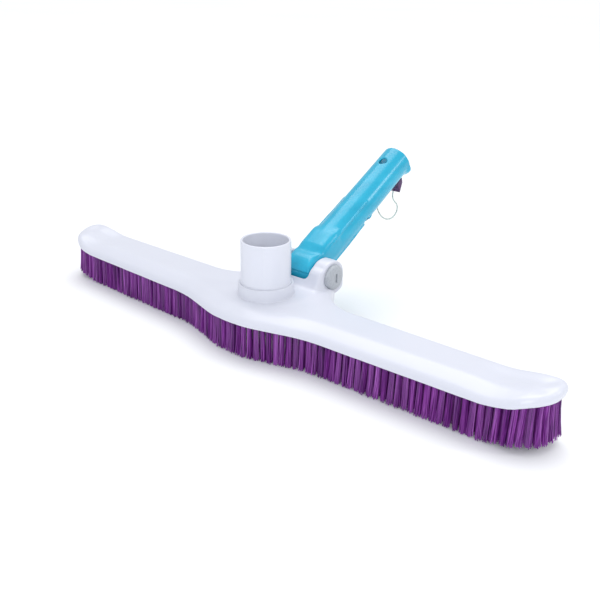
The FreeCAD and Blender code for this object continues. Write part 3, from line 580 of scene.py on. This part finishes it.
def tube_along(name, line, radius, steps=10):
    """A closed round tube that follows a line of points, in metres."""
    mesh = bmesh.new()
    side = Vector((1, 0, 0))
    rings = []
    for number, point in enumerate(line):
        ahead = line[min(number + 1, len(line) - 1)] - line[max(number - 1, 0)]
        ahead.normalize()
        side = (side - ahead * side.dot(ahead)).normalized()
        up = ahead.cross(side)
        turns = [math.tau * step / steps for step in range(steps)]
        rings.append([mesh.verts.new(point + (side * math.cos(turn) + up * math.sin(turn)) * radius)
                      for turn in turns])
    for before, after in zip(rings, rings[1:]):
        for step in range(steps):
            follow = (step + 1) % steps
            mesh.faces.new((before[step], before[follow], after[follow], after[step]))
    mesh.faces.new(reversed(rings[0]))
    mesh.faces.new(rings[-1])
    data = bpy.data.meshes.new(name)
    mesh.to_mesh(data)
    mesh.free()
    piece = bpy.data.objects.new(name, data)
    bpy.context.scene.collection.objects.link(piece)
    turn_outwards(piece)
    return smooth_faces(piece)


def peg_tether():
    route = [on_handle(x, PEG_PLACE + along, up - PEG_FACE) for x, along, up in ROUTE_FROM_PEG]
    seat = tube_radius(ANCHOR_PLACE)
    route += [on_handle(x, ANCHOR_PLACE + along, up - seat) for x, along, up in ROUTE_FROM_ANCHOR]
    line = smooth_line(route, "tether_line")
    tether = tube_along("tether_cord", line, TETHER_RADIUS * MM)
    length = sum((after - before).length for before, after in zip(line, line[1:]))
    print("tether length", round(length / MM, 2))
    dress(tether, TETHER)
    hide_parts("peg_tether")
    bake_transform(tether)


peg_tether()


# ---------------------------------------------------------------- head moulding

RIM_HEIGHT = 27.0
SHELL_DEPTH = 10.0
RIM_LIFT = 3.0                 # at the ends the band's lower edge is this much higher
TOP_LIFT = 4.5                 # and its upper edge this much
LIFT_START = 196.0
LIFT_RUN = 24.0
ENDS = (202, 226)              # across, the sides turn into the flared ends between these places
TIPS = (214, 234)
END_FLARE = 2.6                # at the ends the rim is this far inside the lip
END_RAISE = 2.8                # and at the tips this much higher still
FLARE_HEIGHT = 9.5
FLARE_DEPTH = (17, 4)          # the flare grows towards the edge between these depths
EDGE_ROUND = 3.2
END_EDGE_ROUND = 1.4           # added to that rounding at the ends
STRIP_DROP = 7.25              # the strip along the front slopes down by this at the very edge
STRIP_DEPTH = (15, -6)
STRIP_FRONT = (4, -6)          # it runs along the edges in front of these places
STRIP_ENDS = (238, 200)        # and dies out between these
DISH = 2.0                     # the deck's ends are this much hollow
DISH_ENDS = (172, 214)
DISH_DEPTH = (2.5, 14)
DISH_OPEN = (6, -10)           # towards the front the hollow runs out over the edge
SKIN = 1.8                     # points less deep than this are on the outside of the band
WALL = 2.7
ABOVE_DECK = 6.0               # the ears start this far above the deck's rolled edge
# Half of the head's plan: across, back, and each corner's rounding.
HEAD_PLAN = [
    (15, -41.8, 60), (62, -27.6, 95), (235, -22.8, 26), (235, 16.8, 9.5), (50, 16.8, 40), (31, 46, 7)]


def head_outline(step=1.0):
    """The head's plan outline as points a step apart, each with its outward normal, in millimetres."""
    corners = HEAD_PLAN + [(-x, y, radius) for x, y, radius in reversed(HEAD_PLAN)]
    line = []
    for number, (x, y, radius) in enumerate(corners):
        here = Vector((x, y))
        before = (Vector(corners[number - 1][:2]) - here).normalized()
        after = (Vector(corners[(number + 1) % len(corners)][:2]) - here).normalized()
        half = before.angle(after) / 2
        centre = here + (before + after).normalized() * radius / math.sin(half)
        reach = radius / math.tan(half)
        start, finish = here + before * reach - centre, here + after * reach - centre
        sweep = start.angle_signed(finish)
        count = max(3, round(abs(sweep) * radius / step))
        for index in range(count + 1):
            turn = -sweep * index / count
            line.append(centre + Vector((start.x * math.cos(turn) - start.y * math.sin(turn),
                                         start.x * math.sin(turn) + start.y * math.cos(turn))))
    points = []
    for here, after in zip(line, line[1:] + line[:1]):
        count = max(1, round((after - here).length / step))
        points += [here.lerp(after, index / count) for index in range(count)]
    normals = []
    for number in range(len(points)):
        along = points[(number + 1) % len(points)] - points[number - 1]
        normals.append(Vector((along.y, -along.x)).normalized())
    return np.array([tuple(p) for p in points]), np.array([tuple(n) for n in normals])


OUTLINE, OUTWARD = head_outline()


def inside_distance(places):
    """How far places lie inside the plan's outline, and which outline point is nearest."""
    nearest = np.empty(len(places), int)
    for start in range(0, len(places), 4000):
        part = places[start:start + 4000, None, :] - OUTLINE[None, :, :]
        nearest[start:start + 4000] = np.argmin((part ** 2).sum(2), axis=1)
    depth = -((places - OUTLINE[nearest]) * OUTWARD[nearest]).sum(1)
    return depth, nearest


def draw_in(places, centre, start, share, weights):
    """Draws places that lie further than start from a centre part of the way back to it."""
    offsets = places - centre
    reach = np.hypot(*offsets.T)
    drawn = reach - share * weights * np.maximum(reach - start, 0)
    places += offsets * (drawn / reach - 1)[:, None]


def end_lift(x, rise):
    return rise * np.clip((np.abs(x) - LIFT_START) / LIFT_RUN, 0, 1)


def rim_height(x):
    return RIM_HEIGHT + end_lift(x, RIM_LIFT)


def end_share(x):
    """0 along the sides, 1 round the ends."""
    return soft_step(*ENDS, np.abs(x))


def tip_raise(x):
    return END_RAISE * soft_step(*TIPS, np.abs(x))


def flare_of(points):
    """How far each point moves inwards because the end walls flare out from the rim to the lip."""
    depth, nearest = inside_distance(points[:, :2])
    height = np.clip((points[:, 2] - rim_height(points[:, 0])) / FLARE_HEIGHT, 0, 1)
    flare = END_FLARE * end_share(OUTLINE[nearest, 0]) * (1 - height) * soft_step(*FLARE_DEPTH, depth)
    return -OUTWARD[nearest] * flare[:, None]


def shape_deck(shell):
    """Rolls the deck's edge over, slopes the strip along the front and flares and dishes the ends."""
    points = points_of(shell)
    x, _, z = points.T
    depth, nearest = inside_distance(points[:, :2])
    depth = np.maximum(depth, 0)
    edge_x, edge_y = OUTLINE[nearest].T
    rim = rim_height(x)
    top = RIM_HEIGHT + SHELL_DEPTH + end_lift(x, TOP_LIFT)
    outer = np.clip((z - rim) / (top - rim), 0, 1)
    inside = np.clip((z - rim - WALL) / (top - rim - WALL), 0, 1)

    strip = soft_step(*STRIP_FRONT, edge_y) * soft_step(*STRIP_ENDS, np.abs(edge_x))
    edge_round = EDGE_ROUND + END_EDGE_ROUND * end_share(edge_x)
    rolled = edge_round - np.sqrt(edge_round ** 2 - np.maximum(edge_round - depth, 0) ** 2)
    drop = STRIP_DROP * strip * soft_step(*STRIP_DEPTH, depth)
    drop += rolled * soft_step(0, 2, top + ABOVE_DECK - z)
    hollow = np.maximum(soft_step(*DISH_DEPTH, depth), soft_step(*DISH_OPEN, edge_y))
    dish = DISH * soft_step(*DISH_ENDS, np.abs(x)) * outer ** 3 * hollow

    points[:, 2] = z - drop * np.where(depth < SKIN, outer, inside) - dish + tip_raise(x) * (1 - outer)
    points[:, :2] += flare_of(points)
    set_points(shell, points)


EAR_INNER = (14.2, 14.6)       # the ears' inner faces
EAR_KEPT = 12.0                # their crowns are drawn in beyond this distance from the pivot
EAR_DRAWN = 0.65
SHELL_VOXEL = 1.1
# Where the shell is softened most. Each pair is where the softening starts and where it is full.
OVER_DECK = (36, 38)
MOUND_MIDDLE = 7
MOUND_REACH = (52, 44)
MOUND_FOOT = (35.0, 35.8)
EARS_BACK = (14, 17)
EARS_OUTER = (15.4, 17.5)
FOOT_FRONT = (12, 16)
FOOT_BACK = (33, 29)


def slim_ears(shell):
    """Draws the ears' crowns in, and leaves the slopes that run forward to the deck."""
    points = points_of(shell)
    pivot = np.array(PIVOT)[1:] / MM
    behind, above = (points[:, 1:] - pivot).T
    crown = soft_step(*EAR_INNER, np.abs(points[:, 0])) * soft_step(-5, 5, above + 0.6 * behind)
    draw_in(points[:, 1:], pivot, EAR_KEPT, EAR_DRAWN, crown)
    set_points(shell, points)


def head_moulding():
    """The white shell: one moulding whose ears, mound and deck run into each other in soft fillets."""
    shell = copy_of_node("head_shell", "head_moulding")
    cut_out(shell, rod_piece("collar_room", 24, (0, 0, 37.7), (0, 0, 50)))
    modify(shell, "REMESH", mode="VOXEL", voxel_size=SHELL_VOXEL * MM, use_smooth_shade=True)
    shape_deck(shell)
    x, y, z = points_of(shell).T
    over_deck = soft_step(*OVER_DECK, z)
    mound = soft_step(*MOUND_REACH, np.hypot(x, y - MOUND_MIDDLE)) * soft_step(*MOUND_FOOT, z)
    ears = over_deck * soft_step(*EARS_BACK, y) * soft_step(*EARS_OUTER, np.abs(x))
    front_foot = over_deck * soft_step(*FOOT_FRONT, y) * soft_step(*FOOT_BACK, y)
    softened = np.maximum.reduce([mound, ears, front_foot])
    relax(shell, np.maximum(0.35, softened), 22)
    slim_ears(shell)
    smooth_faces(shell)
    dress(shell, WHITE_ABS)
    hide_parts("head_shell")
    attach(shell, "head")


def bristle_plate():
    """The plate that carries the bristles, drawn in with the rim at the flared ends."""
    plate = copy_of_node("bristle_plate", "bristle_plate_piece")
    modify(plate, "REMESH", mode="VOXEL", voxel_size=0.9 * MM, use_smooth_shade=False)
    points = points_of(plate)
    points[:, :2] += flare_of(points)
    points[:, 2] += tip_raise(points[:, 0])
    set_points(plate, points)
    smooth_faces(plate, 40)
    dress(plate, WHITE_PLATE)
    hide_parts("bristle_plate")
    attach(plate, "head")


# Each ring of a turned piece: its radius and its height.
COLLAR_RINGS = [
    (19.63, 35.6), (22.2, 35.6), (22.2, 37.3), (21.7, 37.7), (21.4, 38.4), (21.25, 39.4),
    (21.2, 46.35), (21.05, 46.75), (20.75, 47.0), (20.05, 47.0), (19.75, 46.9), (19.63, 46.6)]


def collar():
    """The low collar round the cuff, with a small fillet at its foot."""
    ring = turned_piece("cuff_collar", COLLAR_RINGS, 128, hollow=True)
    smooth_faces(ring, 40)
    dress(ring, WHITE_ABS)
    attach(ring, "head")


CUFF_RADIUS = 19.05
CUFF_BORE = 17.1
CUFF_RINGS = [
    (CUFF_BORE, 31.55), (22.4, 31.55), (22.4, 33.95), (19.55, 33.95), (19.55, 47.3), (19.35, 47.5),
    (CUFF_RADIUS, 47.6), (CUFF_RADIUS, 60), (CUFF_RADIUS, 79.1), (18.93, 79.6), (18.6, 79.9), (18.2, 80.0),
    (17.85, 80.0), (17.45, 79.88), (17.2, 79.6), (CUFF_BORE, 79.1), (CUFF_BORE, 55)]
SEAM_TURN = -52.0              # where the mould seam runs, in degrees round from +X
SEAM_HALF = 1.6
SEAM_RISE = 1.012


def hose_cuff():
    """The swivelling cuff: bore, rounded lip, bearing and flange, with a fine mould seam."""
    cuff = turned_piece("cuff_tube", CUFF_RINGS, 128, hollow=True)
    points = points_of(cuff)
    x, y, z = points.T
    turn = np.degrees(np.arctan2(y, x))
    outside = (np.hypot(x, y) > CUFF_RADIUS - 0.01) & (z > 47.55)
    points[outside & (np.abs(turn - SEAM_TURN) < SEAM_HALF), :2] *= SEAM_RISE
    set_points(cuff, points)
    smooth_faces(cuff, 35)
    dress(cuff, WHITE_CUFF)
    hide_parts("hose_cuff")
    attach(cuff, "cuff")


head_moulding()
bristle_plate()
collar()
hose_cuff()


# ---------------------------------------------------------------- handle, peg and pivot

TUBE_BORE = 11.0
TRUE_FROM = 44.0               # from here on the tube's outside is round
BORE_FROM = 66.0               # and from here on its bore
NECK_ROUND = 6.0               # radius of the squared neck's upper edges
NECK_FLAT = 7.5                # half width of its top between them
NECK_SHOULDER = 7.8            # height where they start
NECK_SPAN = (-14, 42)
HOOD_RADIUS = 14.8             # the knuckle's hood is drawn in to about this
RIB_TURN = 34.0                # each side rib's turn from straight across, in degrees
RIB_HEIGHT = 0.8
RIB_HALF = 1.0                 # half of a rib's width
RIB_NEAR = (18, 22)            # the ribs rise from the surface between these places
RIB_FAR = (78, 74)             # and die out between these
NOTCH_PLACE = 68.0
NOTCH_HALF = 3.2
NOTCH_INNER = 9.2
NOTCH_TURN = 42.6              # the notch faces this far down from straight across, in degrees
HANDLE_VOXEL = 0.6
LIP_START = 129.5
LIP_SPAN = (130.4, 136)        # along the tube, the flare grows between these places
LIP_TURN = (85, 50)            # and round it between these, in degrees from straight down
LIP_FLARE = 2.4                # how far the open end flares out under the tube


def cut_neck(handle):
    """Rounds the neck's upper edges."""
    start, finish = NECK_SPAN
    for side in (-1, 1):
        left, right = sorted((side * NECK_FLAT, side * 16))
        corner = box_piece("neck_corner", (left, start, NECK_SHOULDER), (right, finish, 17))
        ends = [(side * NECK_FLAT, place, NECK_SHOULDER) for place in (-20, 50)]
        cut_out(corner, rod_piece("neck_round", NECK_ROUND, *ends))
        cut_out(handle, corner)


def cut_notch(handle):
    """A small notch through the wall in the tube's lower right edge."""
    notch = box_piece("side_notch", (NOTCH_INNER, NOTCH_PLACE - NOTCH_HALF, -5),
                      (18, NOTCH_PLACE + NOTCH_HALF, 5))
    notch.data.transform(Matrix.Rotation(math.radians(NOTCH_TURN), 4, "Y"))
    cut_out(handle, notch)


def true_walls(points):
    """Brings the tube's walls to their exact radii."""
    x, along, up = points.T
    radius = np.hypot(x, up)
    for wall, start in ((tube_radius(along), TRUE_FROM), (TUBE_BORE, BORE_FROM)):
        near = soft_step(0.3, 0.15, np.abs(radius - wall)) * soft_step(start, start + 6, along)
        points[:, ::2] *= (1 + near * (wall / np.maximum(radius, 1) - 1))[:, None]


def flare_lip(points):
    """Turns the end's narrow lip into a flare of the whole underside."""
    x, along, up = points.T
    radius = np.hypot(x, up)
    lip = (along > LIP_START) & (radius > tube_radius(along))
    points[lip, ::2] *= (tube_radius(along) / radius)[lip, None]
    below = np.degrees(np.arctan2(np.abs(x), -up))
    radius = np.hypot(x, up)
    flare = LIP_FLARE * soft_step(*LIP_SPAN, along) * soft_step(*LIP_TURN, below)
    flare *= soft_step(11.2, 12.4, radius)
    points[:, ::2] *= (1 + flare / radius)[:, None]


def raise_ribs(points):
    """Two fine ribs along each side, from the knuckle to the middle of the tube."""
    x, along, up = points.T
    radius = np.hypot(x, up)
    turn = np.degrees(np.arctan2(np.abs(up), np.abs(x)))
    off_rib = np.radians(np.abs(turn - RIB_TURN)) * radius
    ridge = soft_step(RIB_HALF, 0, off_rib) * soft_step(*RIB_NEAR, along) * soft_step(*RIB_FAR, along)
    ridge *= soft_step(12.2, 12.6, radius) * RIB_HEIGHT / radius
    points[:, ::2] *= (1 + ridge)[:, None]


def handle_moulding():
    """The blue handle: knuckle, squared neck and tube in one moulding, its round walls turned true."""
    handle = copy_of_node("handle", "handle_moulding")
    handle.data.transform(HANDLE_FRAME.inverted())
    cut_neck(handle)
    cut_notch(handle)
    modify(handle, "REMESH", mode="VOXEL", voxel_size=HANDLE_VOXEL * MM, use_smooth_shade=True)
    along = points_of(handle)[:, 1]
    neck = soft_step(-14, -6, along) * soft_step(52, 44, along)
    relax(handle, np.maximum(0.4, neck), 14)
    along = points_of(handle)[:, 1]
    shoulders = soft_step(8, 16, along) * soft_step(56, 46, along)
    relax(handle, shoulders, 60)
    points = points_of(handle)
    draw_in(points[:, 1:], (0, -TUBE_RISE), HOOD_RADIUS, 0.9, soft_step(16, 6, points[:, 1]))
    true_walls(points)
    flare_lip(points)
    raise_ribs(points)
    set_points(handle, points)
    handle.data.transform(HANDLE_FRAME)
    smooth_faces(handle)
    dress(handle, BLUE)
    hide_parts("handle")
    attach(handle, "handle")


def on_pivot(piece, side):
    """Puts a piece that was turned about Z on the pivot's axis, growing to the right or left."""
    piece.data.transform(Matrix.Translation(PIVOT) @ Matrix.Rotation(side * math.pi / 2, 4, "Y"))
    return piece


CAP_RINGS = [
    (10.0, 25.4), (10.2, 25.6), (10.2, 27.4), (9.9, 27.7), (9.8, 28.2), (9.65, 28.75), (9.25, 29.25),
    (8.6, 29.65), (7.2, 30.0), (5.2, 30.25), (3.0, 30.37), (1.5, 30.4)]


def pivot_knob():
    """Grey cap with a coin slot and a shallow ring round its face."""
    knob = turned_piece("pivot_knob_cap", CAP_RINGS, 96)
    cut_out(knob, box_piece("coin_slot", (-3.6, -1.05, 28.4), (3.6, 1.05, 31)))
    modify(knob, "BEVEL", width=0.12 * MM, segments=2, limit_method="ANGLE", angle_limit=math.radians(50))
    on_pivot(knob, 1)
    smooth_faces(knob, 35)
    dress(knob, GREY)
    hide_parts("pivot_knob")
    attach(knob, "head")


def pivot_left_cap():
    """The plain grey cap on the left ear."""
    cap = on_pivot(turned_piece("pivot_left_cap", CAP_RINGS, 96), -1)
    smooth_faces(cap, 35)
    dress(cap, GREY)
    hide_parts("pivot_cap")
    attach(cap, "head")


PEG_HEIGHT = 10.3
PEG_HEEL = 4.4                 # the block's height on the side away from the pivot
PEG_WIDTH = 12.6
SHANK_RADIUS = 3.0
SHANK_TIP = -3.85              # where the shank ends, below the tube's axis


def lock_peg():
    """The peg under the tube: a finger block that slopes away from the pivot, on a round shank."""
    near, far = PEG_PLACE - PEG_HALF, PEG_PLACE + PEG_HALF
    low, high = -PEG_FACE - PEG_HEIGHT, -PEG_FACE
    block = box_piece("lock_peg_block", (-PEG_WIDTH / 2, near, low), (PEG_WIDTH / 2, far, high))
    open_mesh(block)
    pick(block, "VERT", lambda place, item: place.z < low + 1 and place.y > PEG_PLACE)
    bpy.ops.transform.translate(value=(0, -1.0 * MM, (PEG_HEIGHT - PEG_HEEL) * MM))
    close_mesh()
    for number in range(3):
        height = low + 2.4 + number * 2.2
        cut_out(block, box_piece("grip_line", (-8, near - 1, height), (8, near + 0.4, height + 0.7)))
    modify(block, "BEVEL", width=0.4 * MM, segments=3, limit_method="ANGLE", angle_limit=math.radians(35))
    ends = [(0, PEG_PLACE, high - 0.6), (0, PEG_PLACE, SHANK_TIP)]
    shank = rod_piece("lock_peg_shank", SHANK_RADIUS, *ends, 48)
    modify(shank, "BEVEL", width=0.5 * MM, segments=3, limit_method="ANGLE", angle_limit=math.radians(40))
    peg = joined("lock_peg_piece", [block, shank])
    peg.data.transform(HANDLE_FRAME)
    smooth_faces(peg, 35)
    dress(peg, PEG)
    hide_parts("lock_peg")
    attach(peg, "peg")


handle_moulding()
pivot_knob()
pivot_left_cap()
lock_peg()


# ---------------------------------------------------------------- bristles

TUFT_PITCH = 5.3
TUFT_KINDS = 8
TUFT_RINGS = ((0.0, 1), (0.75, 6), (1.45, 12))     # each ring's radius and number of filaments
ROWS = (5.9, 8.6, 11.3)        # each row's distance inside the rim
ROW_LEANS = (1.1, 0.4, 0.1)    # how far each row's tips stand out from their roots
END_LEAN = 1.6                 # and how much further round the ends
END_REACH = 3.2                # round the ends the rows run this much nearer the rim
FILAMENT = 0.3                 # a filament's radius, drawn a little thick so that it shows
BRISTLE_LENGTH = 27.0
TRIMMED_LENGTH = 26.9
ROOT_HEIGHT = 27.1
TIP_HEIGHT = 0.1
TIP_LIFT = 4.725               # the ends' tips are this much higher
END_START = 198.5              # tufts beyond this place belong to the end bands
TRIM_SPREAD = 0.55             # the filaments' lengths vary by about this
SPLAY = 0.3                    # and their tips stand up to this share further apart


def filament(lean, turn, length, root, spread):
    """One bristle: a thin rod that bends outwards a little, hanging from its root."""
    bpy.ops.mesh.primitive_cylinder_add(
        vertices=4, radius=FILAMENT * MM, depth=length * MM, location=(0, 0, -length * MM / 2))
    rod = named("filament")
    open_mesh(rod)
    pick(rod, "EDGE", lambda place, edge: abs(place.z + length / 2) < 1)
    bpy.ops.mesh.subdivide(number_cuts=2)
    close_mesh()
    points = points_of(rod)
    down = -points[:, 2] / BRISTLE_LENGTH
    points[:, 0] += root[0] + spread * root[0] * down + lean * math.cos(turn) * down ** 2
    points[:, 1] += root[1] + spread * root[1] * down + lean * math.sin(turn) * down ** 2
    set_points(rod, points)
    return rod


def tuft(number, draw):
    """A bundle of filaments that leave one hole and open out towards their tips."""
    rods = []
    for ring, count in TUFT_RINGS:
        for place in range(count):
            turn = math.tau * (place + draw.uniform(-0.3, 0.3)) / count
            root = (ring * math.cos(turn), ring * math.sin(turn))
            lean, bend = draw.uniform(0.1, 0.9), draw.uniform(0, math.tau)
            length = TRIMMED_LENGTH - abs(draw.gauss(0, TRIM_SPREAD))
            rods.append(filament(lean, bend, length, root, draw.uniform(0.0, SPLAY)))
    return joined(f"tuft_{number}", rods)


def bristle_places(draw):
    """Every tuft's place and lean, row by row, by the band that it belongs to."""
    bands = {"front": [], "rear": [], "right_end": [], "left_end": []}
    for row, inset in enumerate(ROWS):
        insets = inset - END_REACH * end_share(OUTLINE[:, 0])
        line = OUTLINE - OUTWARD * insets[:, None]
        depth, _ = inside_distance(line)
        line, outward = line[depth > insets - 0.25], OUTWARD[depth > insets - 0.25]
        steps = np.hypot(*(np.roll(line, -1, 0) - line).T)
        travelled = np.concatenate([[0], np.cumsum(steps)])
        count = round(travelled[-1] / TUFT_PITCH)
        for index in range(count):
            reach = travelled[-1] * (index + (row % 2) / 2) / count
            here = int(np.searchsorted(travelled, reach, side="right")) - 1
            share = (reach - travelled[here]) / max(steps[here], 0.001)
            x, y = line[here] + (line[(here + 1) % len(line)] - line[here]) * share
            x, y = np.array([x, y]) + flare_of(np.array([[x, y, RIM_HEIGHT]]))[0]
            if abs(x) > END_START:
                band = "right_end" if x > 0 else "left_end"
            else:
                band = "front" if y < 0 else "rear"
            wave = math.sin(reach / 23 + row) + math.sin(reach / 9.1 + 2 * row)
            lean = ROW_LEANS[row] + draw.uniform(-0.35, 0.35) + END_LEAN * end_share(x)
            side = 0.35 * wave + draw.uniform(-0.5, 0.5)
            nx, ny = outward[here]
            bands[band].append(
                (x, y, nx * lean - ny * side, ny * lean + nx * side, draw.randrange(TUFT_KINDS)))
    return bands


def planted(number, place, kinds, draw):
    """A copy of one kind of tuft, turned about itself, leaned and stretched to its place's height."""
    x, y, lean_x, lean_y, kind = place
    copy = bpy.data.objects.new(f"bristle_tuft_{number}", kinds[kind].data.copy())
    bpy.context.scene.collection.objects.link(copy)
    root = ROOT_HEIGHT + float(end_lift(x, RIM_LIFT) + tip_raise(x))
    tip = TIP_HEIGHT + float(end_lift(x, TIP_LIFT))
    points = points_of(copy)
    spin = draw.uniform(0, math.tau)
    turned = points[:, 0] * math.cos(spin) - points[:, 1] * math.sin(spin)
    points[:, 1] = points[:, 0] * math.sin(spin) + points[:, 1] * math.cos(spin)
    points[:, 0] = turned
    down = -points[:, 2] / BRISTLE_LENGTH
    points[:, 0] += x + lean_x * down ** 1.5
    points[:, 1] += y + lean_y * down ** 1.5
    points[:, 2] = root + points[:, 2] * (root - tip) / BRISTLE_LENGTH
    set_points(copy, points)
    return copy


def bristles():
    """Four bands of tufts, each one piece, copied from a few kinds of tuft."""
    draw = random.Random(11)
    kinds = [tuft(number, draw) for number in range(TUFT_KINDS)]
    for band, places in bristle_places(draw).items():
        copies = [planted(number, place, kinds, draw) for number, place in enumerate(places)]
        whole = joined(f"bristle_tufts_{band}", copies)
        smooth_faces(whole, 50)
        dress(whole, BRISTLE)
        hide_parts(f"bristles_{band}")
        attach(whole, "head")
    for piece in kinds:
        bpy.data.objects.remove(piece)


bristles()


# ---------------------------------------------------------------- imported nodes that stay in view

for node, material, slot in (
        ("plate_screws", STEEL, "steel"),
        ("cuff_seal", RUBBER, "seal_rubber"),
        ("cuff_retaining_ring", WHITE_PLATE, "white_plate"),
        ("pivot_bolt", STEEL, "steel"),
        ("pivot_nut", STEEL, "steel"),
        ("pivot_washer_right", STEEL, "steel"),
        ("pivot_washer_left", STEEL, "steel"),
        ("tether_anchor", PEG, "purple_peg")):
    nodes[node].data.materials.clear()
    nodes[node].data.materials.append(material)
